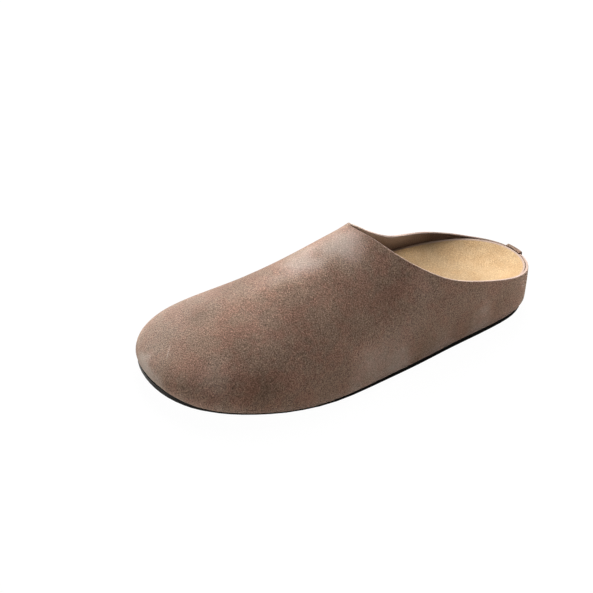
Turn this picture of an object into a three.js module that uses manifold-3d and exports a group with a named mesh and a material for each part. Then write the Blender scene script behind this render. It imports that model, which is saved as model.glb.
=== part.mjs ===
// A closed-toe mule for the left foot, empty, standing on its sole.
// One suede upper wraps a contoured footbed from the rim down to a thin rubber outsole.
// Millimetres, +Z up, toe towards -Y, the outer side of the foot towards +X.
// The origin is under the middle of the shoe, on the floor.
import * as THREE from "three";
import { mergeVertices } from "three/addons/utils/BufferGeometryUtils.js";
import Module from "manifold-3d";

const wasm = await Module();
wasm.setup();

// Driving dimensions
const SOLE_LENGTH = 278; // heel to toe along the feather edge, where upper meets outsole
const BALL_WIDTH = 103; // across the feather edge at the widest part
const INSTEP_HEIGHT = 84.5; // ridge of the vamp at the throat, above the outsole
const HEEL_RIM_HEIGHT = 24.4; // collar at the back of the heel, above the outsole
const THROAT_FROM_HEEL = 140; // peak of the throat, from the back of the heel
const TOE_SPRING = 8; // lift of the toe tip off the floor
const HEEL_LIFT = 1.5; // bevel of the sole at the back of the heel
const OUTSOLE_THICKNESS = 3.4;
const OUTSOLE_INSET = 4; // how far the outsole sits inside the feather edge, before the table below
const OUTSOLE_ROUND = 0.6; // rounding of the outsole's edges
const UPPER_WALL = 2;
const FEATHER_RADIUS = 2.1; // turn of the upper under the footbed
const LASTING_MARGIN = 8; // width of upper glued under the footbed
const FOOTBED_HEEL_HEIGHT = 23.6; // back rim of the heel cup above the outsole
const CLEARANCE = 0.3; // glue line between neighbouring pieces
const TAB_WIDTH = 13; // strip over the back seam
const TAB_CENTRE = -4.5; // its middle, towards the inner side
const TAB_THICKNESS = 0.8;
const GROOVE_WIDTH = 3.5;
const GROOVE_DEPTH = 1.4;
const GROOVE_PITCH = 10.5;
const GROOVE_BORDER = 8; // plain band between the grooves and the outsole's edge

// Roundness of the plan at each end: 2 is an ellipse, more is squarer
const HEEL_ROUNDNESS = 6.8;
const TOE_ROUNDNESS = 8.1;
// Ribs of the last fan out round these two points of its centre line
const HEEL_PIVOT = 0.13 * SOLE_LENGTH;
const TOE_PIVOT = 0.82 * SOLE_LENGTH;

// Sections of the last. at: share of the sole length, from the heel.
// outer, inner: half widths, and spine: centre line towards the outer side, shares of the ball width.
// ridge: height of the top line, a share of the instep height.
// lean: outward bulge of the wall. wall, crown: how far the arch runs up and across, as in a Bezier curve.
const LAST = [
  { at: 0.0, outer: 0.343, inner: 0.343, spine: 0.0, ridge: 1.066, lean: 0.1, wall: 0.7, crown: 0.7 },
  { at: 0.1, outer: 0.354, inner: 0.355, spine: 0.0, ridge: 1.066, lean: 0.115, wall: 0.72, crown: 0.68 },
  { at: 0.2, outer: 0.375, inner: 0.361, spine: 0.0, ridge: 1.066, lean: 0.105, wall: 0.745, crown: 0.65 },
  { at: 0.3, outer: 0.416, inner: 0.361, spine: 0.0, ridge: 1.066, lean: 0.06, wall: 0.72, crown: 0.61 },
  { at: 0.4, outer: 0.467, inner: 0.366, spine: 0.002, ridge: 1.06, lean: 0.03, wall: 0.48, crown: 0.51 },
  { at: 0.5, outer: 0.502, inner: 0.383, spine: 0.012, ridge: 1.003, lean: 0.04, wall: 0.26, crown: 0.43 },
  { at: 0.6, outer: 0.527, inner: 0.415, spine: 0.032, ridge: 0.895, lean: 0.062, wall: 0.36, crown: 0.48 },
  { at: 0.7, outer: 0.537, inner: 0.455, spine: 0.041, ridge: 0.769, lean: 0.085, wall: 0.485, crown: 0.55 },
  { at: 0.8, outer: 0.517, inner: 0.493, spine: 0.024, ridge: 0.634, lean: 0.125, wall: 0.57, crown: 0.595 },
  { at: 0.9, outer: 0.509, inner: 0.516, spine: -0.028, ridge: 0.496, lean: 0.14, wall: 0.605, crown: 0.61 },
  { at: 1.0, outer: 0.509, inner: 0.518, spine: -0.066, ridge: 0.358, lean: 0.075, wall: 0.6, crown: 0.6 },
];

// How far the outsole sits inside the feather edge on each side, a share of the outsole inset.
const TUCK = [
  { at: 0.0, outer: 0.6, inner: 0.6 },
  { at: 0.07, outer: 0.5, inner: 0.5 },
  { at: 0.14, outer: 0.5, inner: 0.5 },
  { at: 0.22, outer: 0.42, inner: 0.5 },
  { at: 0.33, outer: 0.48, inner: 0.5 },
  { at: 0.45, outer: 0.5, inner: 0.6 },
  { at: 0.6, outer: 0.72, inner: 0.8 },
  { at: 0.75, outer: 1.3, inner: 1.1 },
  { at: 0.88, outer: 1.35, inner: 0.9 },
  { at: 0.93, outer: 1.3, inner: 0.5 },
  { at: 0.97, outer: 0.8, inner: 0.2 },
  { at: 1.0, outer: 0.15, inner: 0.15 },
];

// Underside. at: share of the sole length. toe, heel: shares of the toe spring and of the heel lift.
const SPRING = [
  { at: 0.0, toe: 0, heel: 1 },
  { at: 0.05, toe: 0, heel: 0.25 },
  { at: 0.1, toe: 0, heel: 0 },
  { at: 0.66, toe: 0, heel: 0 },
  { at: 0.74, toe: 0.06, heel: 0 },
  { at: 0.82, toe: 0.27, heel: 0 },
  { at: 0.9, toe: 0.56, heel: 0 },
  { at: 1.0, toe: 1, heel: 0 },
];

// Collar line. at: share of the way from the heel to the throat.
// outer, inner: share of the rise from the heel rim to the ridge at the throat.
const COLLAR = [
  { at: 0.0, outer: 0.0, inner: 0.0 },
  { at: 0.13, outer: 0.058, inner: 0.042 },
  { at: 0.26, outer: 0.138, inner: 0.125 },
  { at: 0.43, outer: 0.26, inner: 0.227 },
  { at: 0.54, outer: 0.35, inner: 0.264 },
  { at: 0.61, outer: 0.416, inner: 0.306 },
  { at: 0.74, outer: 0.584, inner: 0.49 },
  { at: 0.87, outer: 0.789, inner: 0.735 },
  { at: 0.92, outer: 0.887, inner: 0.829 },
  { at: 0.96, outer: 0.953, inner: 0.92 },
  { at: 1.0, outer: 1.0, inner: 1.0 },
];

// Top of the footbed above the outsole, as shares of its height at the heel:
// down the middle and at its outer and inner edges.
const FOOTBED = [
  { at: 0.0, middle: 0.84, outer: 1.0, inner: 1.0 },
  { at: 0.05, middle: 0.79, outer: 1.09, inner: 1.09 },
  { at: 0.13, middle: 0.76, outer: 1.19, inner: 1.19 },
  { at: 0.22, middle: 0.79, outer: 1.22, inner: 1.27 },
  { at: 0.32, middle: 0.84, outer: 1.16, inner: 1.33 },
  { at: 0.42, middle: 0.82, outer: 1.0, inner: 1.22 },
  { at: 0.55, middle: 0.68, outer: 0.78, inner: 0.92 },
  { at: 0.68, middle: 0.5, outer: 0.58, inner: 0.64 },
  { at: 0.82, middle: 0.42, outer: 0.5, inner: 0.52 },
  { at: 1.0, middle: 0.45, outer: 0.52, inner: 0.52 },
];

// Numbers of facets
const STATIONS = 40; // along each side, heel to toe
const OUTER_ROWS = 17; // up the outside of the upper
const INNER_ROWS = 13; // up its inside
const BED_RINGS = 5; // across the top of the footbed
const SLAB_REACHES = [0, 0.4, 0.75]; // rings across the flat layers, as shares of the way out
const TAB_COLUMNS = 6;
const TAB_ROWS = 6;

// A smooth curve through one column of a table, as a natural cubic spline.
function column(rows, name) {
  const n = rows.length;
  const x = rows.map((row) => row.at);
  const y = rows.map((row) => row[name]);
  const bend = new Array(n).fill(0);
  const carry = new Array(n).fill(0);
  for (let i = 1; i < n - 1; i++) {
    const share = (x[i] - x[i - 1]) / (x[i + 1] - x[i - 1]);
    const pivot = share * bend[i - 1] + 2;
    const rise = (y[i + 1] - y[i]) / (x[i + 1] - x[i]) - (y[i] - y[i - 1]) / (x[i] - x[i - 1]);
    bend[i] = (share - 1) / pivot;
    carry[i] = ((6 * rise) / (x[i + 1] - x[i - 1]) - share * carry[i - 1]) / pivot;
  }
  for (let i = n - 2; i > 0; i--) bend[i] = bend[i] * bend[i + 1] + carry[i];
  bend[0] = 0;
  return (at) => {
    const t = THREE.MathUtils.clamp(at, 0, 1);
    let i = 1;
    while (i < n - 1 && t > x[i]) i++;
    const h = x[i] - x[i - 1];
    const a = (x[i] - t) / h;
    const b = (t - x[i - 1]) / h;
    const cubic = ((a * a * a - a) * bend[i - 1] + (b * b * b - b) * bend[i]) * ((h * h) / 6);
    return a * y[i - 1] + b * y[i] + cubic;
  };
}

// A curve through one column that never overshoots its rows.
function steadyColumn(rows, name) {
  const n = rows.length;
  const x = rows.map((row) => row.at);
  const y = rows.map((row) => row[name]);
  const steep = (i) => (y[i + 1] - y[i]) / (x[i + 1] - x[i]);
  const slope = x.map((_, i) => {
    if (i === 0) return steep(0);
    if (i === n - 1) return steep(n - 2);
    const [before, after] = [steep(i - 1), steep(i)];
    return before * after <= 0 ? 0 : (2 * before * after) / (before + after);
  });
  return (at) => {
    const t = THREE.MathUtils.clamp(at, 0, 1);
    let i = 0;
    while (i < n - 2 && t > x[i + 1]) i++;
    const h = x[i + 1] - x[i];
    const s = (t - x[i]) / h;
    const keep = (1 + 2 * s) * (1 - s) ** 2;
    return keep * y[i] + (1 - keep) * y[i + 1] + h * s * (1 - s) * ((1 - s) * slope[i] - s * slope[i + 1]);
  };
}

const outerShare = column(LAST, "outer");
const innerShare = column(LAST, "inner");
const spineShare = column(LAST, "spine");
const ridgeShare = column(LAST, "ridge");
const leanAt = column(LAST, "lean");
const wallAt = column(LAST, "wall");
const crownAt = column(LAST, "crown");
const tuckShare = { 1: steadyColumn(TUCK, "outer"), [-1]: steadyColumn(TUCK, "inner") };
const toeLift = steadyColumn(SPRING, "toe");
const heelLift = steadyColumn(SPRING, "heel");
const collarShare = { 1: steadyColumn(COLLAR, "outer"), [-1]: steadyColumn(COLLAR, "inner") };
const bedMiddle = column(FOOTBED, "middle");
const bedEdge = { 1: column(FOOTBED, "outer"), [-1]: column(FOOTBED, "inner") };

// Finds where a rising function passes zero.
function solve(rising, low, high) {
  let [a, b] = [low, high];
  for (let i = 0; i < 26; i++) {
    const middle = (a + b) / 2;
    if (rising(middle) < 0) a = middle;
    else b = middle;
  }
  return (a + b) / 2;
}

// Plan of the last. A station is a distance from the back of the heel; side is 1 outer, -1 inner.
const spineX = (station) => BALL_WIDTH * spineShare(station / SOLE_LENGTH);

function halfWidth(station, side) {
  const along = THREE.MathUtils.clamp((2 * station) / SOLE_LENGTH - 1, -1, 1);
  const roundness = along < 0 ? HEEL_ROUNDNESS : TOE_ROUNDNESS;
  const endCap = Math.sqrt(Math.max(0, 1 - Math.abs(along) ** roundness));
  const share = side > 0 ? outerShare : innerShare;
  return BALL_WIDTH * share(station / SOLE_LENGTH) * endCap;
}

const edgeX = (station, side) => spineX(station) + side * halfWidth(station, side);
const ribRoot = (station) => THREE.MathUtils.clamp(station, HEEL_PIVOT, TOE_PIVOT);

// Heights
const underside = (station) =>
  TOE_SPRING * toeLift(station / SOLE_LENGTH) + HEEL_LIFT * heelLift(station / SOLE_LENGTH);
const outsoleTop = (station) => OUTSOLE_THICKNESS + underside(station);
const ridgeTop = (station) => OUTSOLE_THICKNESS + INSTEP_HEIGHT * ridgeShare(station / SOLE_LENGTH);

function collarTop(station, side) {
  const low = OUTSOLE_THICKNESS + HEEL_RIM_HEIGHT;
  const share = collarShare[side](station / THROAT_FROM_HEEL);
  return low + (ridgeTop(THROAT_FROM_HEEL) - low) * share;
}

// A point of the last's surface, on the rib of one station.
// climb is 0 at the feather edge and 1 on the ridge. x across, y the distance from the heel, z up.
function lastPoint(station, side, climb) {
  const share = station / SOLE_LENGTH;
  const t = climb * (0.65 + 0.35 * climb * climb); // evens out the rows
  const lean = leanAt(share);
  const out = (1 - t) ** 3 + 3 * (1 - t) ** 2 * t * (1 + lean) + 3 * (1 - t) * t * t * crownAt(share);
  const up = 3 * (1 - t) ** 2 * t * wallAt(share) + 3 * (1 - t) * t * t + t ** 3;
  const root = ribRoot(station);
  const x = spineX(root) + (edgeX(station, side) - spineX(root)) * out;
  const y = root + (station - root) * out;
  const z = (outsoleTop(station) + CLEARANCE) * (1 - up) + ridgeTop(y) * up;
  return new THREE.Vector3(x, y, z);
}

// The last laid flat inside its own plan: each rib runs straight from its root to the feather edge.
function flatPoint(station, side, climb) {
  const root = ribRoot(station);
  const reach = 1 - climb;
  return new THREE.Vector2(
    spineX(root) + (edgeX(station, side) - spineX(root)) * reach,
    root + (station - root) * reach,
  );
}

// The way back from the flat plan to the surface.
function surfacePoint(flat) {
  const root = ribRoot(flat.y);
  const beyond = flat.y - root;
  if (Math.abs(beyond) < 1e-6) {
    const side = flat.x < spineX(root) ? -1 : 1;
    const reach = Math.abs(flat.x - spineX(root)) / halfWidth(flat.y, side);
    return lastPoint(flat.y, side, 1 - reach);
  }
  const tip = beyond > 0 ? SOLE_LENGTH : 0;
  const across = flat.x - spineX(root);
  const shortest = beyond / (tip - root);
  const side = across < (spineX(tip) - spineX(root)) * shortest ? -1 : 1;
  const spare = (reach) => side * (reach * (edgeX(root + beyond / reach, side) - spineX(root)) - across);
  const reach = solve(spare, shortest, 2);
  return lastPoint(root + beyond / reach, side, 1 - reach);
}

// Outward normal of the last at a point of the flat plan.
function surfaceNormal(flat) {
  const step = 0.4;
  const at = (dx, dy) => surfacePoint(new THREE.Vector2(flat.x + dx, flat.y + dy));
  const across = at(step, 0).sub(at(-step, 0));
  const along = at(0, step).sub(at(0, -step));
  return across.cross(along).normalize();
}

// Stations of one side, closer together round the heel and the toe.
const stationList = Array.from({ length: STATIONS + 1 }, (_, i) => {
  const turn = (Math.PI * i) / STATIONS;
  const eased = turn - 0.13 * Math.sin(2 * turn);
  return (SOLE_LENGTH * (1 - Math.cos(eased))) / 2;
});
// Once round the shoe: heel, outer side, toe, inner side.
const loop = [
  ...stationList.map((station) => ({ station, side: 1 })),
  ...stationList.slice(1, -1).reverse().map((station) => ({ station, side: -1 })),
];

// Level outward direction of the plan at a stop of the loop.
const outward = loop.map((_, i) => {
  const next = loop[(i + 1) % loop.length];
  const last = loop[(i + loop.length - 1) % loop.length];
  const dx = edgeX(next.station, next.side) - edgeX(last.station, last.side);
  const dy = next.station - last.station;
  return new THREE.Vector3(dy, -dx, 0).normalize();
});

// A stop of the feather edge moved inwards by a distance, at a height.
function insetEdge(i, inset, height) {
  const { station, side } = loop[i];
  const point = new THREE.Vector3(edgeX(station, side), station, 0).addScaledVector(outward[i], -inset);
  point.z = height(point.y);
  return point;
}

// The collar point that each stop of the loop climbs to, in the flat plan.
function collarFlat(i) {
  const { station, side } = loop[i];
  const share = station / SOLE_LENGTH;
  const crowd = Math.min(0.82, SOLE_LENGTH / THROAT_FROM_HEEL - 1);
  const target = THROAT_FROM_HEEL * share * (1 + crowd * (1 - share));
  const height = collarTop(target, side);
  const climb = solve((c) => lastPoint(target, side, c).z - height, 0, 1);
  return flatPoint(target, side, climb);
}

// A ring drawn in towards the roots of its ribs. reach is 1 at the ring and 0 at the roots.
function drawnIn(ring, reach, height) {
  return ring.map((point, i) => {
    const root = ribRoot(loop[i].station);
    const inner = new THREE.Vector3(spineX(root), root, 0).lerp(point, reach);
    return inner.setZ(height(inner.y, point.z));
  });
}

// Closed skin over rings of points, each cell split along its shorter diagonal.
// Rings may shrink to a line or a point at either end.
function skin(rings, wrap) {
  const count = rings[0].length;
  const points = rings.flat();
  const position = points.flatMap((p) => [p.x, SOLE_LENGTH / 2 - p.y, p.z]);
  const index = [];
  const bands = wrap ? rings.length : rings.length - 1;
  for (let r = 0; r < bands; r++) {
    for (let i = 0; i < count; i++) {
      const a = r * count + i;
      const b = r * count + ((i + 1) % count);
      const c = ((r + 1) % rings.length) * count + ((i + 1) % count);
      const d = ((r + 1) % rings.length) * count + i;
      const short = points[a].distanceTo(points[c]) < points[b].distanceTo(points[d]);
      if (short) index.push(a, b, c, a, c, d);
      else index.push(a, b, d, b, c, d);
    }
  }
  return closedGeometry(position, index);
}

function closedGeometry(position, index) {
  const raw = new THREE.BufferGeometry();
  raw.setAttribute("position", new THREE.Float32BufferAttribute(position, 3));
  raw.setIndex(index);
  const merged = mergeVertices(raw, 1e-3);
  const whole = [];
  const all = merged.index.array;
  for (let k = 0; k < all.length; k += 3) {
    const [a, b, c] = [all[k], all[k + 1], all[k + 2]];
    if (a !== b && b !== c && c !== a) whole.push(a, b, c);
  }
  merged.setIndex(whole);
  if (volume(merged) < 0) merged.setIndex(whole.reverse());
  return merged;
}

function volume(geometry) {
  const { position } = geometry.attributes;
  const point = (k) => new THREE.Vector3().fromBufferAttribute(position, geometry.index.array[k]);
  let total = 0;
  for (let k = 0; k < geometry.index.count; k += 3) total += point(k).dot(point(k + 1).cross(point(k + 2)));
  return total / 6;
}

function toSolid(geometry) {
  return new wasm.Manifold(
    new wasm.Mesh({
      numProp: 3,
      vertProperties: new Float32Array(geometry.attributes.position.array),
      triVerts: new Uint32Array(geometry.index.array),
    }),
  );
}

function toGeometry(solid) {
  const mesh = solid.getMesh();
  const geometry = new THREE.BufferGeometry();
  geometry.setAttribute("position", new THREE.BufferAttribute(mesh.vertProperties, 3));
  geometry.setIndex(new THREE.BufferAttribute(mesh.triVerts, 1));
  return geometry;
}

// Upper: one wall from the margin under the footbed, round the feather edge and up to the collar.
function upper() {
  const floor = (station) => outsoleTop(station) + CLEARANCE;
  const innerRadius = FEATHER_RADIUS - UPPER_WALL;
  const turn = Math.PI / 4;
  const margin = FEATHER_RADIUS + LASTING_MARGIN;
  const under = [margin, FEATHER_RADIUS, FEATHER_RADIUS * (1 - Math.sin(turn))];
  const underHeight = [0, 0, FEATHER_RADIUS * (1 - Math.cos(turn))];
  const over = [margin, UPPER_WALL + innerRadius, UPPER_WALL + innerRadius * (1 - Math.sin(turn))];
  const overHeight = [0, 0, innerRadius * (1 - Math.cos(turn))].map((h) => h + UPPER_WALL);
  const edgeRings = (insets, heights) =>
    insets.map((inset, k) => loop.map((_, i) => insetEdge(i, inset, (y) => floor(y) + heights[k])));
  const wallRings = (rows, depth) => {
    const ribs = loop.map((stop, i) => {
      const foot = solve(
        (c) => lastPoint(stop.station, stop.side, c).z - floor(stop.station) - FEATHER_RADIUS, 0, 0.4);
      return [flatPoint(stop.station, stop.side, foot), collarFlat(i)];
    });
    return Array.from({ length: rows }, (_, k) => {
      const share = (k / (rows - 1)) ** 1.6;
      return ribs.map(([foot, top]) => {
        const flat = foot.clone().lerp(top, share);
        return surfacePoint(flat).addScaledVector(surfaceNormal(flat), -depth);
      });
    });
  };
  const outside = [...edgeRings(under, underHeight), ...wallRings(OUTER_ROWS, 0)];
  const inside = [...edgeRings(over, overHeight), ...wallRings(INNER_ROWS, UPPER_WALL)];
  return skin([...outside, ...inside.reverse()], true);
}

// Footbed: fills the upper up to its contoured top, and steps down between the lasting margins.
function footbed() {
  const gap = UPPER_WALL + CLEARANCE;
  const floor = (station) => outsoleTop(station) + CLEARANCE;
  const marginEnd = FEATHER_RADIUS + LASTING_MARGIN + CLEARANCE;
  const sidePoint = (stop, height) => {
    const climb = solve((c) => lastPoint(stop.station, stop.side, c).z - height, 0, 0.9);
    const flat = flatPoint(stop.station, stop.side, climb);
    return surfacePoint(flat).addScaledVector(surfaceNormal(flat), -gap);
  };
  const edgeHeight = ({ station, side }) =>
    outsoleTop(station) + FOOTBED_HEEL_HEIGHT * bedEdge[side](station / SOLE_LENGTH);
  const bottom = loop.map((_, i) => insetEdge(i, marginEnd, floor));
  const step = loop.map((_, i) => insetEdge(i, marginEnd, (y) => floor(y) + gap));
  const corner = loop.map((_, i) => insetEdge(i, FEATHER_RADIUS + CLEARANCE, (y) => floor(y) + gap));
  const sides = [0, 0.5, 1].map((share) =>
    loop.map((stop) => {
      const low = floor(stop.station) + gap + 1;
      return sidePoint(stop, low + (edgeHeight(stop) - low) * share);
    }),
  );
  const rim = sides[sides.length - 1];
  const top = Array.from({ length: BED_RINGS }, (_, k) => {
    const reach = 1 - (k + 1) / BED_RINGS;
    return drawnIn(rim, reach, (y, rimZ) => {
      const middle = outsoleTop(y) + FOOTBED_HEEL_HEIGHT * bedMiddle(y / SOLE_LENGTH);
      return middle + (rimZ - middle) * reach ** 2.6;
    });
  });
  const base = SLAB_REACHES.map((reach) => drawnIn(bottom, reach, floor));
  return skin([...base, bottom, step, corner, ...sides, ...top], false);
}

// Outsole: a sprung slab with rounded edges and shallow cross grooves.
function outsole() {
  const tuck = ({ station, side }) => OUTSOLE_INSET * tuckShare[side](station / SOLE_LENGTH);
  const edge = (inset, height) => loop.map((stop, i) => insetEdge(i, tuck(stop) + inset, height));
  const soften = OUTSOLE_ROUND * (1 - Math.SQRT1_2);
  const tread = edge(OUTSOLE_ROUND, underside);
  const top = edge(0, outsoleTop);
  const slab = skin(
    [
      ...SLAB_REACHES.map((reach) => drawnIn(tread, reach, underside)),
      tread,
      edge(soften, (y) => underside(y) + soften),
      edge(0, (y) => underside(y) + OUTSOLE_ROUND),
      top,
      ...SLAB_REACHES.toReversed().map((reach) => drawnIn(top, reach, outsoleTop)),
    ],
    false,
  );
  const first = 0.05 * SOLE_LENGTH;
  const zones = [
    [first, 0.34 * SOLE_LENGTH],
    [0.52 * SOLE_LENGTH, 0.93 * SOLE_LENGTH],
  ];
  let solid = toSolid(slab);
  for (const [from, to] of zones) {
    for (let station = from; station <= to; station += GROOVE_PITCH) {
      const groove = toSolid(grooveBar(station));
      solid = solid.subtract(groove);
    }
  }
  return toGeometry(solid);
}

// The bar that cuts one groove, with round ends inside the plain border.
function grooveBar(station) {
  const radius = GROOVE_WIDTH / 2;
  const reach = (side) => {
    const near = Math.min(halfWidth(station - GROOVE_WIDTH, side), halfWidth(station + GROOVE_WIDTH, side));
    return Math.max(near - GROOVE_BORDER - radius, radius);
  };
  const [left, right] = [spineX(station) - reach(-1), spineX(station) + reach(1)];
  const shape = new THREE.Shape();
  shape.moveTo(left, -radius);
  shape.lineTo(right, -radius);
  shape.absarc(right, 0, radius, -Math.PI / 2, Math.PI / 2);
  shape.lineTo(left, radius);
  shape.absarc(left, 0, radius, Math.PI / 2, (3 * Math.PI) / 2);
  const below = 2;
  const bar = new THREE.ExtrudeGeometry(shape, {
    depth: GROOVE_DEPTH + below,
    bevelEnabled: false,
    curveSegments: 4,
  });
  bar.translate(0, SOLE_LENGTH / 2 - station, underside(station) - below);
  bar.deleteAttribute("normal");
  bar.deleteAttribute("uv");
  return mergeVertices(bar, 1e-3);
}

// Strip over the back seam: up the heel and over the rim.
function heelTab() {
  const far = CLEARANCE + TAB_THICKNESS;
  const stops = Array.from({ length: TAB_COLUMNS + 1 }, (_, c) => {
    const x = TAB_CENTRE + TAB_WIDTH * (c / TAB_COLUMNS - 0.5);
    const side = x < 0 ? -1 : 1;
    const station = solve((a) => halfWidth(a, side) - Math.abs(x), 0, HEEL_PIVOT);
    return { station, side };
  });
  const profile = (stop, lift) => {
    const low = outsoleTop(stop.station) + CLEARANCE + FEATHER_RADIUS;
    const high = collarTop(stop.station, stop.side);
    const climbAt = (z) => solve((c) => lastPoint(stop.station, stop.side, c).z - z, 0, 0.9);
    const flatAt = (z) => flatPoint(stop.station, stop.side, climbAt(z));
    const offset = (z, depth) => {
      const flat = flatAt(z);
      return surfacePoint(flat).addScaledVector(surfaceNormal(flat), depth);
    };
    const outer = Array.from({ length: TAB_ROWS + 1 }, (_, k) =>
      offset(low + ((high - low) * k) / TAB_ROWS, lift),
    );
    const rimOut = offset(high, lift).setZ(offset(high, 0).z + lift);
    const rimIn = offset(high, -UPPER_WALL).setZ(offset(high, -UPPER_WALL).z + lift);
    return [...outer, rimOut, rimIn];
  };
  const near = stops.map((stop) => profile(stop, CLEARANCE));
  const away = stops.map((stop) => profile(stop, far));
  const rings = Array.from({ length: near[0].length }, (_, k) => [
    ...near.map((points) => points[k]),
    ...away.map((points) => points[k]).reverse(),
  ]);
  const middle = (ring) => {
    const half = ring.length / 2;
    return ring.map((_, k) => {
      const pair = k < half ? k : ring.length - 1 - k;
      return ring[pair].clone().lerp(ring[ring.length - 1 - pair], 0.5);
    });
  };
  return skin([middle(rings[0]), ...rings, middle(rings[rings.length - 1])], false);
}

const suede = { color: 0x7a6458, roughness: 0.95, metalness: 0 };
const tanSuede = { color: 0xd8b98c, roughness: 0.9, metalness: 0 };
const rubber = { color: 0x1b1a19, roughness: 0.75, metalness: 0 };

function piece(name, geometry, finish) {
  const mesh = new THREE.Mesh(geometry, new THREE.MeshStandardMaterial(finish));
  mesh.name = name;
  return mesh;
}

const mule = new THREE.Group();
mule.add(piece("outsole", outsole(), rubber));
mule.add(piece("footbed", footbed(), tanSuede));
mule.add(piece("upper", upper(), suede));
mule.add(piece("heel_tab", heelTab(), suede));

// The whole shoe stands with its middle over the origin.
const extent = new THREE.Box3().setFromObject(mule);
const middle = extent.getCenter(new THREE.Vector3());
for (const mesh of mule.children) mesh.geometry.translate(-middle.x, -middle.y, -extent.min.z);

export default mule;
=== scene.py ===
# %% [markdown]
# # A suede mule, dressed in Blender
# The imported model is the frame: every solid already has its real size and place, in metres,
# with the toe towards -Y, the outer side of the foot towards +X and the floor at zero height.
# Blender adds what the eye sees: the finish of each piece, its softened edges and its creases.
# %% Load the frame
import math

import bpy
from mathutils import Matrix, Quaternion, Vector, kdtree


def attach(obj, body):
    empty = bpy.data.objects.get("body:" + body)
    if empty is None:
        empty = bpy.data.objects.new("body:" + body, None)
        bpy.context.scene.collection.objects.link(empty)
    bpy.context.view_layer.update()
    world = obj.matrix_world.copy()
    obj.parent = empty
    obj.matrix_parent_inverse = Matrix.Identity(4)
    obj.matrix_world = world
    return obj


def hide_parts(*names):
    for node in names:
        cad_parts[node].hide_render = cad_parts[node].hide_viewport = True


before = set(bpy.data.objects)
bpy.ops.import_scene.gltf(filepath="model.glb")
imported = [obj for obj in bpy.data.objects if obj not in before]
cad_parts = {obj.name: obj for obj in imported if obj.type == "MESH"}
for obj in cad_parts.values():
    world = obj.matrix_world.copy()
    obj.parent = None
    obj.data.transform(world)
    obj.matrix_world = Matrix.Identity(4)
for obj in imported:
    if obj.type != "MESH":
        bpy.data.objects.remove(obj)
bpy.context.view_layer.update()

MM = 0.001
bpy.ops.object.select_all(action="DESELECT")
print("solids:", sorted(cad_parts))

# %% [markdown]
# ## The camera
# A product photograph is taken from well back with a long lens, so that the toe doesn't swell.
# The camera is placed by two angles and a distance from a target in the middle of the shoe.
# It is rolled a little, because the photograph's horizon leans, and a small lens shift puts
# the shoe right of the middle of the picture without turning the camera away from it.
# %% Camera
CAMERA_TURN = math.radians(55.85)
CAMERA_RISE = math.radians(32.8)
CAMERA_ROLL = math.radians(3.4)
CAMERA_DISTANCE = 1.140
CAMERA_TARGET = Vector((-0.00355, -0.0006, 0.030))
CAMERA_LENS = 107.5
SENSOR_WIDTH = 36
NEAREST_SEEN = 0.05
SHIFT_RIGHT, SHIFT_UP = -0.0847, 0.0083


def direction(turn, rise):
    """The way towards a viewer or a lamp: turn 0 is in front of the toe, 90 degrees the outer side."""
    level = math.cos(rise)
    return Vector((math.sin(turn) * level, -math.cos(turn) * level, math.sin(rise)))


def aim(obj, place, target, roll=0.0):
    """Puts a camera or a lamp at a place, looking at a target."""
    obj.location = place
    turned = (target - place).to_track_quat("-Z", "Y")
    own_axis = turned @ Vector((0, 0, 1))
    obj.rotation_mode = "QUATERNION"
    obj.rotation_quaternion = Quaternion(own_axis, roll) @ turned


bpy.ops.object.camera_add()
camera = bpy.context.object
camera.name = "camera"
camera.data.sensor_width = SENSOR_WIDTH
camera.data.lens = CAMERA_LENS
camera.data.shift_x = SHIFT_RIGHT
camera.data.shift_y = SHIFT_UP
camera.data.clip_start = NEAREST_SEEN
camera_place = CAMERA_TARGET + direction(CAMERA_TURN, CAMERA_RISE) * CAMERA_DISTANCE
aim(camera, camera_place, CAMERA_TARGET, CAMERA_ROLL)
bpy.context.scene.camera = camera
print("camera at", [round(v, 3) for v in camera.location])

# %% [markdown]
# ## Floor
# The floor of a cut-out picture is nearly white with a faint shadow. Where the camera looks at it
# directly it mostly glows, and for all other light it is plain pale paper that throws its soft
# light back. The Light Path node tells the two apart.
# %% Floor
FLOOR_SIZE = 6.0
FLOOR_GLOW = 0.985
PAPER = (0.88, 0.86, 0.83, 1)
PAPER_ROUGHNESS = 0.9

bpy.ops.mesh.primitive_plane_add(size=FLOOR_SIZE, location=(0, 0, 0))
floor = bpy.context.object
floor.name = "studio_floor"
paper = bpy.data.materials.new("pale_floor")
paper.use_nodes = True
tree = paper.node_tree
plain = tree.nodes["Principled BSDF"]
plain.inputs["Base Color"].default_value = PAPER
plain.inputs["Roughness"].default_value = PAPER_ROUGHNESS
glow = tree.nodes.new("ShaderNodeEmission")
seen = tree.nodes.new("ShaderNodeLightPath")
share = tree.nodes.new("ShaderNodeMath")
share.operation = "MULTIPLY"
share.inputs[1].default_value = FLOOR_GLOW
mixed = tree.nodes.new("ShaderNodeMixShader")
tree.links.new(seen.outputs["Is Camera Ray"], share.inputs[0])
tree.links.new(share.outputs[0], mixed.inputs["Fac"])
tree.links.new(plain.outputs[0], mixed.inputs[1])
tree.links.new(glow.outputs[0], mixed.inputs[2])
tree.links.new(mixed.outputs[0], tree.nodes["Material Output"].inputs["Surface"])
floor.data.materials.append(paper)
print("floor:", floor.name, "glows by", FLOOR_GLOW)

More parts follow.
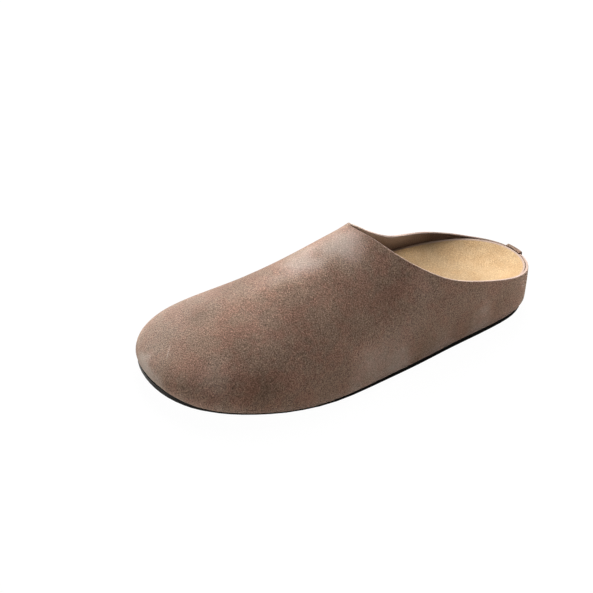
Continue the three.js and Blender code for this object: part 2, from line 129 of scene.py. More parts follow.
# %% [markdown]
# ## Light
# The studio has two broad soft lamps. The photograph's light comes from the inner side of the
# foot and a little from behind, half way up: the ridge of the vamp and the inner toe are pale,
# and the outer side falls off into soft shade. A higher lamp fills the top.
# %% Lamps and world
KEY_TURN, KEY_RISE = math.radians(-120), math.radians(45)
KEY_DISTANCE, KEY_SIZE, KEY_POWER = 1.5, 0.8, 49
TOP_TURN, TOP_RISE = math.radians(-120), math.radians(70)
TOP_DISTANCE, TOP_SIZE, TOP_POWER = 1.5, 0.8, 26
WORLD_STRENGTH = 0.04


def lamp(name, turn, rise, distance, size, power):
    """A square soft lamp that looks at the shoe."""
    bpy.ops.object.light_add(type="AREA")
    made = bpy.context.object
    made.name = name
    made.data.shape = "SQUARE"
    made.data.size = size
    made.data.energy = power
    aim(made, CAMERA_TARGET + direction(turn, rise) * distance, CAMERA_TARGET)


lamp("key_lamp", KEY_TURN, KEY_RISE, KEY_DISTANCE, KEY_SIZE, KEY_POWER)
lamp("top_lamp", TOP_TURN, TOP_RISE, TOP_DISTANCE, TOP_SIZE, TOP_POWER)

world = bpy.data.worlds.new("studio_air")
world.use_nodes = True
world.node_tree.nodes["Background"].inputs["Color"].default_value = (1, 1, 1, 1)
world.node_tree.nodes["Background"].inputs["Strength"].default_value = WORLD_STRENGTH
bpy.context.scene.world = world
bpy.context.scene.view_settings.view_transform = "Standard"

# %% [markdown]
# ## Tools for shader nodes
# A material is a tree of nodes. Each of these short functions adds a node or two to a tree and
# gives back the output that the next step reads, so that the recipes further down read like
# sums. What goes into a node may be a plain value or the output of another node.
# %% Making and feeding nodes
def new_group(name, inputs, outputs):
    """A shader node group: (title, kind, value) for each input, (title, kind) for each output."""
    group = bpy.data.node_groups.new(name, "ShaderNodeTree")
    for title, kind, value in inputs:
        made = group.interface.new_socket(title, in_out="INPUT", socket_type=kind)
        made.default_value = value
    for title, kind in outputs:
        group.interface.new_socket(title, in_out="OUTPUT", socket_type=kind)
    return group


def node(tree, kind, **settings):
    """One node, with its properties and the values of its inputs."""
    made = tree.nodes.new(kind)
    for name, value in settings.items():
        if hasattr(made, name):
            setattr(made, name, value)
        else:
            made.inputs[name.replace("_", " ")].default_value = value
    return made


def feed(tree, socket, given):
    """Links a socket to another node's output, or sets it to a plain value."""
    if hasattr(given, "links"):
        tree.links.new(given, socket)
    else:
        socket.default_value = given


def own_place(tree):
    """Each point's place in the piece's own coordinates."""
    return tree.nodes.new("ShaderNodeTexCoord").outputs["Object"]


def painted(tree, name):
    """A value stored on the piece's own points."""
    return node(tree, "ShaderNodeAttribute", attribute_name=name).outputs["Fac"]


# %% [markdown]
# Noise, sums and mixtures are the words of the recipes. A smooth step turns a band of one value
# into a band of another, which is how a pattern is made crisper, softer, stronger or weaker.
# %% Noise, sums and mixtures
def noise(tree, place, scale, detail, roughness):
    """Noise on the piece's own coordinates."""
    made = node(tree, "ShaderNodeTexNoise", Scale=scale, Detail=detail, Roughness=roughness)
    tree.links.new(place, made.inputs["Vector"])
    return made.outputs["Fac"]


def spread(tree, value, low, high, to_low, to_high):
    """Maps a band of a value to another band, smoothly."""
    made = node(tree, "ShaderNodeMapRange", interpolation_type="SMOOTHSTEP")
    band = {"Value": value, "From Min": low, "From Max": high, "To Min": to_low, "To Max": to_high}
    for title, given in band.items():
        feed(tree, made.inputs[title], given)
    return made.outputs["Result"]


def blend(tree, mode, factor, first, second):
    """Mixes two colours."""
    made = node(tree, "ShaderNodeMix", data_type="RGBA", blend_type=mode)
    for number, given in ((0, factor), (6, first), (7, second)):
        feed(tree, made.inputs[number], given)
    return made.outputs[2]


def math_node(tree, operation, first, second):
    """One sum on two values."""
    made = node(tree, "ShaderNodeMath", operation=operation)
    feed(tree, made.inputs[0], first)
    feed(tree, made.inputs[1], second)
    return made.outputs[0]


def vector_node(tree, operation, *inputs):
    """One step on vectors, whose result is the output Vector or Value."""
    made = node(tree, "ShaderNodeVectorMath", operation=operation)
    for socket, given in zip(made.inputs, inputs):
        feed(tree, socket, given)
    return made


def product(tree, *values):
    """All the values multiplied."""
    total = values[0]
    for value in values[1:]:
        total = math_node(tree, "MULTIPLY", total, value)
    return total


def centred(tree, value, gain):
    """A noise value moved to swing evenly about zero."""
    return math_node(tree, "MULTIPLY", math_node(tree, "SUBTRACT", value, 0.5), gain)


def grey(tree, value):
    """A grey colour of one value."""
    made = node(tree, "ShaderNodeCombineColor")
    for channel in made.inputs:
        tree.links.new(value, channel)
    return made.outputs[0]


# %% [markdown]
# ## Suede nap
# Suede is the buffed inner side of a hide. Close up it is a fine speckle, and where a hand has
# brushed the nap it shows broad soft patches, some redder and some greyer. A few rare pale specks
# are painted highlights: glints of single fibres, painted into the colour. All come from noise on
# the shoe's own coordinates. The upper, the heel strip and the footbed use them, so they are one
# node group, placed in each material with its own values. A higher noise scale means a smaller
# pattern.
# %% Node group for the nap
TINT_SCALE = 85
TINT_LOW, TINT_HIGH = 0.38, 0.62
TINT_SHARE = 0.75
PATCH_SCALE, PATCH_GAIN = 75, 2.8
BRUSH_SCALE, BRUSH_GAIN = 230, 1.2
GRAIN_SCALE, GRAIN_GAIN = 1250, 4.0
GLINT_SCALE, GLINT_GAIN = 1500, 1.2
GLINT_LOW, GLINT_HIGH = 0.60, 0.74
DARKEST_NAP = 0.25
FIBRE_SCALE = 2600
GRAIN_HEIGHT, FIBRE_HEIGHT = 0.75, 0.25

nap = new_group(
    "suede_nap",
    [
        ("Colour", "NodeSocketColor", (0.2, 0.14, 0.11, 1)),
        ("Red patch", "NodeSocketColor", (0.2, 0.12, 0.09, 1)),
        ("Grey patch", "NodeSocketColor", (0.2, 0.15, 0.12, 1)),
        ("Patches", "NodeSocketFloat", 0.1),
        ("Speckle", "NodeSocketFloat", 0.2),
    ],
    [("Colour", "NodeSocketColor"), ("Height", "NodeSocketFloat")],
)
given = nap.nodes.new("NodeGroupInput").outputs
result = nap.nodes.new("NodeGroupOutput").inputs
place = own_place(nap)
tint = spread(nap, noise(nap, place, TINT_SCALE, 3.0, 0.65), TINT_LOW, TINT_HIGH, 0.0, 1.0)
tinted = blend(nap, "MIX", tint, given["Red patch"], given["Grey patch"])
colour = blend(nap, "MIX", TINT_SHARE, given["Colour"], tinted)
patch = centred(nap, noise(nap, place, PATCH_SCALE, 3.0, 0.6), PATCH_GAIN)
brushed = centred(nap, noise(nap, place, BRUSH_SCALE, 2.0, 0.6), BRUSH_GAIN)
cloud = math_node(nap, "ADD", patch, brushed)
grain = noise(nap, place, GRAIN_SCALE, 2.0, 0.8)
fibre = noise(nap, place, FIBRE_SCALE, 2.0, 0.6)
speck = centred(nap, grain, GRAIN_GAIN)
# Painted highlight: rare pale specks in the colour stand for fibres catching the light.
painted_glint = spread(nap, noise(nap, place, GLINT_SCALE, 1.0, 0.5), GLINT_LOW, GLINT_HIGH, 0.0, GLINT_GAIN)
light = math_node(
    nap, "ADD", product(nap, cloud, given["Patches"]), product(nap, speck, given["Speckle"]))
light = math_node(nap, "ADD", light, product(nap, painted_glint, given["Speckle"]))
light = math_node(nap, "MAXIMUM", math_node(nap, "ADD", light, 1.0), DARKEST_NAP)
colour = blend(nap, "MULTIPLY", 1.0, colour, grey(nap, light))
height = math_node(nap, "ADD", product(nap, grain, GRAIN_HEIGHT), product(nap, fibre, FIBRE_HEIGHT))
nap.links.new(colour, result["Colour"])
nap.links.new(height, result["Height"])
print("nodes in the nap:", len(nap.nodes))

# %% [markdown]
# ## Brush marks and painted light
# Soft marks lighten or darken the leather. They are partly brushed nap and partly painted light:
# the pale streak along the crest of the vamp and the pale low edges at the toe, the waist and the
# heel are painted highlights, and the dark marks on the outer flank, in the toe's dimple and in the
# hollows are painted shade. The largest of these soft marks are listed one by one. Each row is a
# place on the shoe, how far the mark reaches and how much it lightens the leather. A mark has its
# full strength in a small core and fades out beyond its reach. Noise bends the distance to each
# place, so that no mark is a plain round spot.
# %% Node group for the marks
BRUSH_AND_PAINTED_LIGHT_MARKS = (
    # x, y, z in mm, reach in mm, change of tone
    (2, -35, 77, 14, 0.46),
    (7, -12, 83, 13, 0.52),
    (19, -14, 75, 13, 0.10),
    (2, -52, 71, 13, 0.32),
    (-4, -70, 63, 13, 0.26),
    (-10, -86, 55, 11, 0.06),
    (3, -31, 78, 5, -0.14),
    (26, -82, 51, 18, 0.14),
    (-18, -66, 61, 24, -0.22),
    (30, -29, 62, 15, -0.14),
    (39, -18, 48, 17, -0.16),
    (31, -64, 55, 19, -0.12),
    (23, -94, 48, 15, -0.15),
    (46, -35, 38, 19, -0.16),
    (32, -116, 29, 14, 0.15),
    (40, 2, 56, 16, -0.18),
    (50, -93, 23, 15, -0.20),
    (48, 2, 20, 19, 0.20),
    (52, -22, 17, 17, 0.24),
    (45, 22, 36, 12, 0.10),
    (37, 30, 53, 11, 0.14),
    (40, 53, 26, 14, -0.05),
    (32, 103, 25, 12, -0.14),
    (36, 80, 30, 5, 0.12),
    (36, 82, 21, 6, 0.16),
    (-10, -105, 46, 9, -0.18),
    (-15, -134, 25, 11, 0.10),
    (-21, -138, 17, 8, 0.55),
    (-12, -139, 12, 7, 0.55),
    (-1, -137, 12, 6, 0.30),
    (-4, -139, 15, 9, 0.15),
    (47, 8, 8, 14, 0.18),
    (41, 45, 8, 14, 0.18),
    (35, 80, 8, 12, 0.24),
    (-9, 137, 29, 9, -0.20),
    (30, 104, 8, 10, 0.10),
)
MARK_CORE, MARK_EDGE = 0.2, 1.5
MARK_WARP_SCALE = 70
MARK_WARP = 14 * MM

marks = new_group("brush_and_painted_light_marks", [], [("Tone", "NodeSocketFloat")])
place = own_place(marks)
warp = node(marks, "ShaderNodeTexNoise", Scale=MARK_WARP_SCALE, Detail=3.0, Roughness=0.6)
marks.links.new(place, warp.inputs["Vector"])
bent = vector_node(marks, "MULTIPLY_ADD", warp.outputs["Color"], [MARK_WARP] * 3, place)
total = 1.0
for x, y, z, reach, change in BRUSH_AND_PAINTED_LIGHT_MARKS:
    middle = [v * MM + MARK_WARP / 2 for v in (x, y, z)]
    away = vector_node(marks, "DISTANCE", bent.outputs["Vector"], middle).outputs["Value"]
    fade = spread(marks, away, MARK_CORE * reach * MM, MARK_EDGE * reach * MM, change, 0.0)
    total = math_node(marks, "ADD", total, fade)
print("brush marks:", len(BRUSH_AND_PAINTED_LIGHT_MARKS))

# %% [markdown]
# One fine scratch on the toe is a short line. The shade asks how far a point is from its nearest
# place on that line: it takes the way from the line's start, measures how far that reaches along
# the line, holds it between the two ends, and compares.
# %% A scratch on the toe
SCRATCH_FROM, SCRATCH_TO = Vector((-9, -125.7, 32.5)) * MM, Vector((-3, -131, 28)) * MM
SCRATCH_WIDTH, SCRATCH_TONE = 0.7 * MM, 0.6
SCRATCH_LENGTH = (SCRATCH_TO - SCRATCH_FROM).length
along = (SCRATCH_TO - SCRATCH_FROM).normalized()

offset = vector_node(marks, "SUBTRACT", place, SCRATCH_FROM).outputs["Vector"]
reached = vector_node(marks, "DOT_PRODUCT", offset, along).outputs["Value"]
reached = math_node(marks, "MINIMUM", reached, SCRATCH_LENGTH)
reached = math_node(marks, "MAXIMUM", reached, 0.0)
nearest = vector_node(marks, "SCALE", along)
marks.links.new(reached, nearest.inputs["Scale"])
gap = vector_node(marks, "DISTANCE", offset, nearest.outputs["Vector"]).outputs["Value"]
scratch = spread(marks, gap, 0.0, SCRATCH_WIDTH, SCRATCH_TONE, 0.0)
result = marks.nodes.new("NodeGroupOutput").inputs
marks.links.new(math_node(marks, "ADD", total, scratch), result["Tone"])
print("scratch length in mm:", round(SCRATCH_LENGTH / MM, 1))

# %% [markdown]
# ## Suede materials
# The upper is a warm grey-brown suede. The footbed is covered in a smoother tan suede, which is a
# little pinker on the narrow lip along its edge. A soft sheen stands for the loose fibres that
# light up at a glancing angle. It is a plain number on the shader, because it is the same all over.
# %% Three suedes
SUEDE = (0.207, 0.129, 0.093, 1)
SUEDE_RED = (0.222, 0.122, 0.088, 1)
SUEDE_GREY = (0.202, 0.135, 0.098, 1)
TAN = (0.318, 0.215, 0.116, 1)
TAN_DEEP = (0.304, 0.200, 0.104, 1)
TAN_PALE = (0.332, 0.232, 0.130, 1)
TAN_LIP = (0.34, 0.25, 0.20, 1)
NAP_ROUGHNESS, NAP_SHINE, NAP_DEPTH = 0.92, 0.10, 1.2 * MM
SHEEN_ROUGHNESS = 0.45
SHEEN_TINT = (1.0, 0.74, 0.58, 1)


def suede_material(name, colours, patches, speckle, sheen, bump):
    """A matt napped leather of a main colour, a redder and a greyer one. Gives back its nap too."""
    made = bpy.data.materials.new(name)
    made.use_nodes = True
    tree = made.node_tree
    shader = tree.nodes["Principled BSDF"]
    finish = node(tree, "ShaderNodeGroup", node_tree=nap)
    for title, value in zip(("Colour", "Red patch", "Grey patch"), colours):
        finish.inputs[title].default_value = value
    finish.inputs["Patches"].default_value = patches
    finish.inputs["Speckle"].default_value = speckle
    tree.links.new(finish.outputs["Colour"], shader.inputs["Base Color"])
    shader.inputs["Roughness"].default_value = NAP_ROUGHNESS
    shader.inputs["Specular IOR Level"].default_value = NAP_SHINE
    shader.inputs["Sheen Weight"].default_value = sheen
    shader.inputs["Sheen Roughness"].default_value = SHEEN_ROUGHNESS
    shader.inputs["Sheen Tint"].default_value = SHEEN_TINT
    relief = node(tree, "ShaderNodeBump", Strength=bump, Distance=NAP_DEPTH)
    tree.links.new(finish.outputs["Height"], relief.inputs["Height"])
    tree.links.new(relief.outputs["Normal"], shader.inputs["Normal"])
    return made, finish.outputs["Colour"]


suede, suede_nap = suede_material(
    "upper_suede", (SUEDE, SUEDE_RED, SUEDE_GREY), patches=0.16, speckle=1.05, sheen=0.5, bump=1.0)
lip, lip_nap = suede_material(
    "footbed_lip", (TAN_LIP, TAN_LIP, TAN_LIP), patches=0.05, speckle=0.10, sheen=0.2, bump=0.3)
tan, tan_nap = suede_material(
    "tan_suede", (TAN, TAN_DEEP, TAN_PALE), patches=0.06, speckle=0.40, sheen=0.2, bump=0.5)
print("suedes:", [m.name for m in (suede, lip, tan)])

# %% [markdown]
# ## Painted light on the insole
# The tan suede is paler where the vamp and the inner wall cast their shade on it: under the vamp,
# from the arch towards the toe, and up the inner wall beside the arch it is much paler, as painted
# light. It is darker at the seat of the heel and paler again towards the edge at the back.
# %% Painted light on the insole
DEEP_IN, OPEN_AIR, DEEP_GAIN = -20 * MM, 42 * MM, 3.0
SEAT, SEAT_GAIN = 85 * MM, 0.82
BACK, BACK_GAIN = 122 * MM, 1.16
WALL, WALL_END, WALL_GAIN = -40 * MM, -24 * MM, 1.6
ARCH, ARCH_END = 60 * MM, 90 * MM

tree = tan.node_tree
place = node(tree, "ShaderNodeSeparateXYZ")
tree.links.new(own_place(tree), place.inputs[0])
across, lengthwise = place.outputs["X"], place.outputs["Y"]
# Painted light: the colour is lightened where the vamp and the inner wall cast shade.
painted_light_gain = product(
    tree, spread(tree, lengthwise, DEEP_IN, OPEN_AIR, DEEP_GAIN, 1.0),
    spread(tree, lengthwise, SEAT, BACK, SEAT_GAIN, BACK_GAIN))
beside = product(
    tree, spread(tree, across, WALL, WALL_END, WALL_GAIN, 0.0),
    spread(tree, lengthwise, ARCH, ARCH_END, 1.0, 0.0))
painted_light_gain = math_node(tree, "MULTIPLY", painted_light_gain, math_node(tree, "ADD", beside, 1.0))
colour = blend(tree, "MULTIPLY", 1.0, tan_nap, grey(tree, painted_light_gain))
tree.links.new(colour, tree.nodes["Principled BSDF"].inputs["Base Color"])
print("nodes in the tan suede:", len(tree.nodes))

# %% [markdown]
# ## Painted light and wear of the upper
# The marks, with their painted highlights and shades, change green and blue more than red, so pale
# marks turn greyer and dark ones redder, and the palest, mostly the painted highlight on the crest,
# is nearly colourless. The low edge near the sole is paler as a painted highlight. The inner half of
# the upper is greyer as a whole. The inside is the same hide, darkened as painted shade, with a
# painted highlight where the light reaches it. The cut rim shows the pale raw core of the hide, and
# beside the dip of the inner collar the same pale line is a painted highlight; noise frays the edge
# of that pale line. The names in `painted` are values that are stored on the points of the upper
# further down.
# %% Painted light and wear of the upper
LOW_EDGE_HIGHLIGHT = 0.32
TONE_RED_POWER, TONE_GREEN_POWER, TONE_BLUE_POWER = 1.0, 1.15, 1.30
INNER_HALF, OUTER_HALF = -26 * MM, 10 * MM
GREYER = (1.0, 1.14, 1.24, 1)
PALE_NAP_AND_HIGHLIGHT = (0.46, 0.40, 0.355, 1)
PALE_FROM, PALE_TO, PALE_SHARE = 1.0, 1.9, 0.85
INNER_SHADED = (0.122, 0.088, 0.079, 1)
INNER_LIT = (0.66, 0.55, 0.52, 1)
RAW_CORE_AND_HIGHLIGHT = (0.46, 0.345, 0.29, 1)
FRAY_SCALE, FRAY_GAIN = 700, 1.6
FRAY_LOW, FRAY_HIGH = 0.35, 0.75

tree = suede.node_tree
tone = node(tree, "ShaderNodeGroup", node_tree=marks).outputs["Tone"]
# Painted highlight: the low edge near the sole is lightened.
tone = math_node(tree, "ADD", tone, product(tree, painted(tree, "low_edge"), LOW_EDGE_HIGHLIGHT))
# The tone, painted highlights and shades included, tints green and blue more than red.
tone_tint = node(tree, "ShaderNodeCombineColor")
for channel, power in zip(tone_tint.inputs, (TONE_RED_POWER, TONE_GREEN_POWER, TONE_BLUE_POWER)):
    tree.links.new(math_node(tree, "POWER", tone, power), channel)
colour = blend(tree, "MULTIPLY", 1.0, suede_nap, tone_tint.outputs[0])
place = node(tree, "ShaderNodeSeparateXYZ")
tree.links.new(own_place(tree), place.inputs[0])
inner_share = spread(tree, place.outputs["X"], INNER_HALF, OUTER_HALF, 1.0, 0.0)
colour = blend(tree, "MULTIPLY", inner_share, colour, GREYER)
# The palest tones, mostly the painted highlight on the crest, mix towards a pale grey.
pale_share = spread(tree, tone, PALE_FROM, PALE_TO, 0.0, PALE_SHARE)
colour = blend(tree, "MIX", pale_share, colour, PALE_NAP_AND_HIGHLIGHT)
# Painted shade darkens the inside, and a painted highlight lightens the lining below the dip.
lining_light_and_shade = blend(tree, "MIX", painted(tree, "lit_lining"), INNER_SHADED, INNER_LIT)
colour = blend(tree, "MIX", painted(tree, "inner_side"), colour, lining_light_and_shade)
# The pale rim is the raw core of the hide, and beside the dip of the inner collar a painted highlight.
fray = centred(tree, noise(tree, own_place(tree), FRAY_SCALE, 3.0, 0.7), FRAY_GAIN)
frayed = math_node(tree, "ADD", painted(tree, "raw_and_lit_rim"), fray)
colour = blend(tree, "MIX", spread(tree, frayed, FRAY_LOW, FRAY_HIGH, 0.0, 1.0), colour, RAW_CORE_AND_HIGHLIGHT)
tree.links.new(colour, tree.nodes["Principled BSDF"].inputs["Base Color"])
print("nodes in the upper's suede:", len(tree.nodes))

# %% [markdown]
# ## Rubber
# The outsole is black rubber with a fine pebble and a trace of dust.
# %% Rubber
RUBBER = (0.007, 0.006, 0.005, 1)
RUBBER_DUSTY = (0.012, 0.010, 0.008, 1)
RUBBER_SHINE = 0.25
PEBBLE_SCALE, PEBBLE_BUMP, PEBBLE_DEPTH = 900, 0.3, 0.2 * MM
PEBBLE_LOW, PEBBLE_HIGH = 0.3, 0.7
SMOOTHEST, ROUGHEST = 0.55, 0.75
DUST_SCALE, DUST_LOW, DUST_HIGH = 60, 0.35, 0.75

rubber = bpy.data.materials.new("black_rubber")
rubber.use_nodes = True
tree = rubber.node_tree
shader = tree.nodes["Principled BSDF"].inputs
shader["Specular IOR Level"].default_value = RUBBER_SHINE
place = own_place(tree)
pebble = noise(tree, place, PEBBLE_SCALE, 2.0, 0.6)
dust = spread(tree, noise(tree, place, DUST_SCALE, 3.0, 0.6), DUST_LOW, DUST_HIGH, 0.0, 1.0)
dull = spread(tree, pebble, PEBBLE_LOW, PEBBLE_HIGH, SMOOTHEST, ROUGHEST)
relief = node(tree, "ShaderNodeBump", Strength=PEBBLE_BUMP, Distance=PEBBLE_DEPTH)
tree.links.new(blend(tree, "MIX", dust, RUBBER, RUBBER_DUSTY), shader["Base Color"])
tree.links.new(dull, shader["Roughness"])
tree.links.new(pebble, relief.inputs["Height"])
tree.links.new(relief.outputs["Normal"], shader["Normal"])
print("nodes in the rubber:", len(tree.nodes))

# %% [markdown]
# ## A soft copy of a solid
# The frame's solids are faceted. A dressed piece starts as a copy of one: its loose triangles
# are merged and paired back into four-sided faces, because a subdivision surface runs smoothly
# only over such faces.
# %% Copy, merge and pair up
MERGE_DISTANCE = 0.005 * MM
PAIR_BEND, PAIR_SKEW = math.radians(60), math.radians(100)


def soft_copy(solid, name):
    """A merged copy of a solid with four-sided faces, selected and active."""
    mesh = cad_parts[solid].data.copy()
    piece = bpy.data.objects.new(name, mesh)
    bpy.context.scene.collection.objects.link(piece)
    bpy.ops.object.select_all(action="DESELECT")
    piece.select_set(True)
    bpy.context.view_layer.objects.active = piece
    mesh.materials.clear()
    bpy.ops.mesh.customdata_custom_splitnormals_clear()
    bpy.ops.object.mode_set(mode="EDIT")
    bpy.ops.mesh.select_all(action="SELECT")
    bpy.ops.mesh.remove_doubles(threshold=MERGE_DISTANCE)
    bpy.ops.mesh.tris_convert_to_quads(face_threshold=PAIR_BEND, shape_threshold=PAIR_SKEW)
    bpy.ops.mesh.select_all(action="DESELECT")
    bpy.ops.object.mode_set(mode="OBJECT")
    print(name, "has", len(mesh.vertices), "points and", len(mesh.polygons), "faces")
    return piece


# %% [markdown]
# Subdivision would melt a 2 mm rim away, so sharp edges are found by their angle and bevelled
# before the piece is rounded. Only then does the subdivision surface keep them as soft corners.
# %% Sharp edges, bevel and rounding
def clear_selection(mesh):
    """Deselects all points, edges and faces."""
    for elements in (mesh.vertices, mesh.edges, mesh.polygons):
        for element in elements:
            element.select = False


def sharp_edges(piece, angle, keep):
    """Selects the edges sharper than an angle whose middle passes a test."""
    bpy.ops.object.mode_set(mode="EDIT")
    bpy.ops.mesh.select_mode(type="EDGE")
    bpy.ops.mesh.select_all(action="DESELECT")
    bpy.ops.mesh.edges_select_sharp(sharpness=angle)
    bpy.ops.object.mode_set(mode="OBJECT")
    mesh = piece.data
    chosen = []
    for edge in mesh.edges:
        first, second = (mesh.vertices[v].co for v in edge.vertices)
        if edge.select and keep((first + second) / 2):
            chosen.append(edge.index)
    clear_selection(mesh)
    for index in chosen:
        mesh.edges[index].select = True
        for v in mesh.edges[index].vertices:
            mesh.vertices[v].select = True
    return chosen


def bevel_selected(width, segments, material=-1):
    """Bevels the selected edges, in a material of the piece or in their own."""
    bpy.ops.object.mode_set(mode="EDIT")
    bpy.ops.mesh.bevel(offset=width, segments=segments, affect="EDGES", material=material)
    bpy.ops.object.mode_set(mode="OBJECT")


def subdivide(piece, levels):
    """Rounds the piece with a subdivision surface and applies it."""
    modifier = piece.modifiers.new("rounding", "SUBSURF")
    modifier.levels = levels
    modifier.render_levels = levels
    bpy.ops.object.modifier_apply(modifier=modifier.name)
    bpy.ops.object.shade_smooth()


def triangles(piece):
    """How many triangles the piece would be cut into."""
    return sum(len(face.vertices) - 2 for face in piece.data.polygons)


# %% [markdown]
# ## Upper
# One hide is stretched over the last, glued under the footbed and cut off at the collar. The
# rim keeps the hide's full thickness, so its two edges are bevelled before rounding. The line
# half way between those edges is kept for later: the pale raw core shows along it.
# %% Upper: copy and rim
RIM_LOW = 20 * MM
RIM_ANGLE = math.radians(50)
RIM_SOFTNESS, RIM_SEGMENTS = 0.7 * MM, 3
RIM_STEPS = 8

upper = soft_copy("upper", "upper_soft")
upper.data.materials.append(suede)
rim_edges = sharp_edges(upper, RIM_ANGLE, lambda middle: middle.z > RIM_LOW)
points = upper.data.vertices
rim_points = {v for e in rim_edges for v in upper.data.edges[e].vertices}
sharp_keys = {upper.data.edges[e].key for e in rim_edges}
rim_line = []
for face in upper.data.polygons:
    if all(v in rim_points for v in face.vertices):
        crossing = [key for key in face.edge_keys if key not in sharp_keys]
        ends = [(points[a].co + points[b].co) / 2 for a, b in crossing]
        if len(ends) == 2:
            rim_line += [ends[0].lerp(ends[1], step / RIM_STEPS) for step in range(RIM_STEPS + 1)]
print("rim edges:", len(rim_edges), "points on the rim's line:", len(rim_line))
bevel_selected(RIM_SOFTNESS, RIM_SEGMENTS)
subdivide(upper, 1)

# %% [markdown]
# ## Creases of the upper
# The leather isn't drum tight. It has a dimple on the inner side of the toe, a pinch at the toe's
# tip, a soft roll beside the throat, a shallow hollow on the flank and a flare of the inner
# collar. Each is pushed in or pulled out at one place with proportional editing, which carries
# the points around it along with a soft fall-off, so both faces of the hide move together.
# %% Upper: creases
CREASES = (
    # x, y, z in mm, outward push in mm, reach in mm
    (-12, -106, 45, -0.9, 11),
    (-1, -139, 19, -0.5, 5),
    (1, -31, 78, 0.6, 14),
    (9, -22, 79, -0.5, 9),
    (30, -29, 62, -0.6, 19),
    (47, -62, 36, 0.4, 16),
    (40, -88, 38, -0.4, 14),
    (40, 55, 28, -0.4, 10),
    (-36, 52, 46, 1.2, 14),
)



def crease(piece, place, push, reach):
    """Pushes the point nearest to a place along its own normal, and its surroundings with it."""
    mesh = piece.data
    nearest = min(mesh.vertices, key=lambda vertex: (vertex.co - place).length_squared).index
    outwards = mesh.vertices[nearest].normal.copy()
    clear_selection(mesh)
    mesh.vertices[nearest].select = True
    bpy.ops.object.mode_set(mode="EDIT")
    bpy.ops.mesh.select_mode(type="VERT")
    bpy.ops.transform.translate(
        value=outwards * push, use_proportional_edit=True,
        proportional_edit_falloff="SMOOTH", proportional_size=reach)
    bpy.ops.object.mode_set(mode="OBJECT")


for x, y, z, push, reach in CREASES:
    crease(upper, Vector((x, y, z)) * MM, push * MM, reach * MM)
subdivide(upper, 1)
print("creases:", len(CREASES), "triangles:", triangles(upper))

# %% [markdown]
# ## Which side is the inner side
# A point of the upper faces in when its normal turns towards the middle of the shoe at its
# station. The stations stop short of toe and heel, so that the rounded ends are judged against
# a middle inside them. The outsole's top at each station tells how high a point is above it.
# %% Upper: stations
STATION = 10 * MM
FIRST_STATION, LAST_STATION = -105 * MM, 100 * MM


def station_of(place):
    """The number of the slice across the shoe that judges a place."""
    return round(min(max(place.y, FIRST_STATION), LAST_STATION) / STATION)


slices = {}
for point in upper.data.vertices:
    if FIRST_STATION - STATION <= point.co.y <= LAST_STATION + STATION:
        slices.setdefault(station_of(point.co), []).append(point.co)
middles = {}
for number, inside in slices.items():
    middles[number] = Vector((
        (min(p.x for p in inside) + max(p.x for p in inside)) / 2,
        number * STATION,
        (min(p.z for p in inside) + max(p.z for p in inside)) / 2))

sole_tops = {}
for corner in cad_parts["outsole"].data.vertices:
    number = round(corner.co.y / STATION)
    sole_tops[number] = max(sole_tops.get(number, 0), corner.co.z)
print("stations:", len(middles))

# %% [markdown]
# ## Painted values
# Four values are painted on the points of the upper for its material to read. The first is how
# near a point is to the rim's line: the core is rubbed bare along the outer rim, beside the dip of
# the inner collar the pale line is a painted highlight, and elsewhere on the inner side the nap
# still covers it. `inner_side` says whether the point faces into the shoe. `lit_lining` is the
# painted highlight on the pale part of the lining, just below that dip. `low_edge` grows towards
# the sole, where the nap is painted paler as a highlight.
# %% Upper: painted values
RAW_FULL, RAW_NONE = 0.5 * MM, 1.25 * MM
RUBBED_FROM, RUBBED_TO = -20 * MM, 15 * MM
LIT_PLACE, LIT_REACH, LIT_DEPTH = Vector((-38, 40, 47)) * MM, 50 * MM, 14 * MM
LIT_RIM = 0.8
INNER_TURN = 0.25
LOW_EDGE = 9 * MM


def ramp(value, none, full):
    """0 at one value and 1 at another, straight between and flat beyond."""
    return min(max((value - none) / (full - none), 0), 1)


line = kdtree.KDTree(len(rim_line))
for index, place in enumerate(rim_line):
    line.insert(place, index)
line.balance()

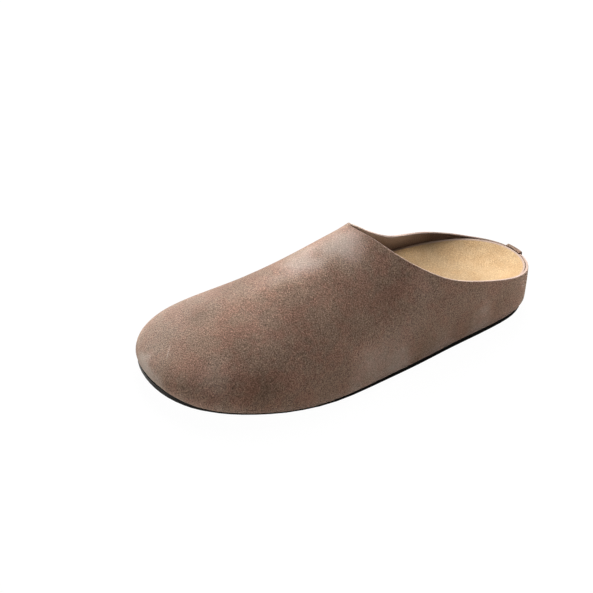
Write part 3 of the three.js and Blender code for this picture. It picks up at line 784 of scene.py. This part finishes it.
painting = {"raw_and_lit_rim": [], "inner_side": [], "lit_lining": [], "low_edge": []}
for point in upper.data.vertices:
    away = line.find(point.co)[2]
    towards = (middles[station_of(point.co)] - point.co).normalized()
    beside = ramp((point.co - LIT_PLACE).length, LIT_REACH, LIT_REACH / 2)
    above = point.co.z - sole_tops.get(round(point.co.y / STATION), 0)
    # Beside the dip of the inner collar the pale rim is a painted highlight.
    bare_and_lit_rim = max(ramp(point.co.x, RUBBED_FROM, RUBBED_TO), LIT_RIM * beside)
    painting["raw_and_lit_rim"].append(bare_and_lit_rim * ramp(away, RAW_NONE, RAW_FULL))
    painting["inner_side"].append(ramp(point.normal.dot(towards), 0, INNER_TURN))
    # Painted highlight on the lining just below the dip.
    painting["lit_lining"].append(beside * ramp(away, LIT_DEPTH, 0) ** 2)
    # Painted highlight: paler towards the sole.
    painting["low_edge"].append(ramp(above, LOW_EDGE, 0))
for name, values in painting.items():
    upper.data.attributes.new(name, "FLOAT", "POINT").data.foreach_set("value", values)
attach(upper, "root")
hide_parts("upper")
print("painted:", list(painting))

# %% [markdown]
# ## Footbed
# The footbed is moulded to the foot and covered in tan suede that turns over its edge. The bevel
# of that edge gets the second material, which is the pinker lip.
# %% Footbed
FOOTBED_EDGE_LOW = 8 * MM
FOOTBED_ANGLE = math.radians(40)
LIP_WIDTH = 0.4 * MM

footbed = soft_copy("footbed", "footbed_soft")
footbed.data.materials.append(tan)
footbed.data.materials.append(lip)
sharp_edges(footbed, FOOTBED_ANGLE, lambda middle: middle.z > FOOTBED_EDGE_LOW)
bevel_selected(LIP_WIDTH, 2, material=1)
subdivide(footbed, 2)
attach(footbed, "root")
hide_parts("footbed")
print("footbed triangles:", triangles(footbed))

# %% [markdown]
# ## Outsole
# A thin black rubber sole with shallow cross grooves. Its shape is already right, so only its
# edges are softened by a bevel.
# %% Outsole
SOLE_SOFTNESS = 0.35 * MM
SOLE_ANGLE = math.radians(35)

outsole = soft_copy("outsole", "outsole_soft")
outsole.data.materials.append(rubber)
modifier = outsole.modifiers.new("soft_edges", "BEVEL")
modifier.width = SOLE_SOFTNESS
modifier.segments = 2
modifier.limit_method = "ANGLE"
modifier.angle_limit = SOLE_ANGLE
bpy.ops.object.modifier_apply(modifier=modifier.name)
bpy.ops.object.shade_smooth_by_angle(angle=SOLE_ANGLE)
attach(outsole, "root")
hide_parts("outsole")
print("outsole triangles:", triangles(outsole))

# %% [markdown]
# ## Heel strip
# A strip of the same suede covers the back seam and folds over the rim.
# %% Heel strip
STRIP_ANGLE = math.radians(40)
STRIP_SOFTNESS = 0.3 * MM

tab = soft_copy("heel_tab", "heel_strip")
tab.data.materials.append(suede)
sharp_edges(tab, STRIP_ANGLE, lambda middle: True)
bevel_selected(STRIP_SOFTNESS, 1)
subdivide(tab, 2)
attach(tab, "root")
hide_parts("heel_tab")
print("strip triangles:", triangles(tab))
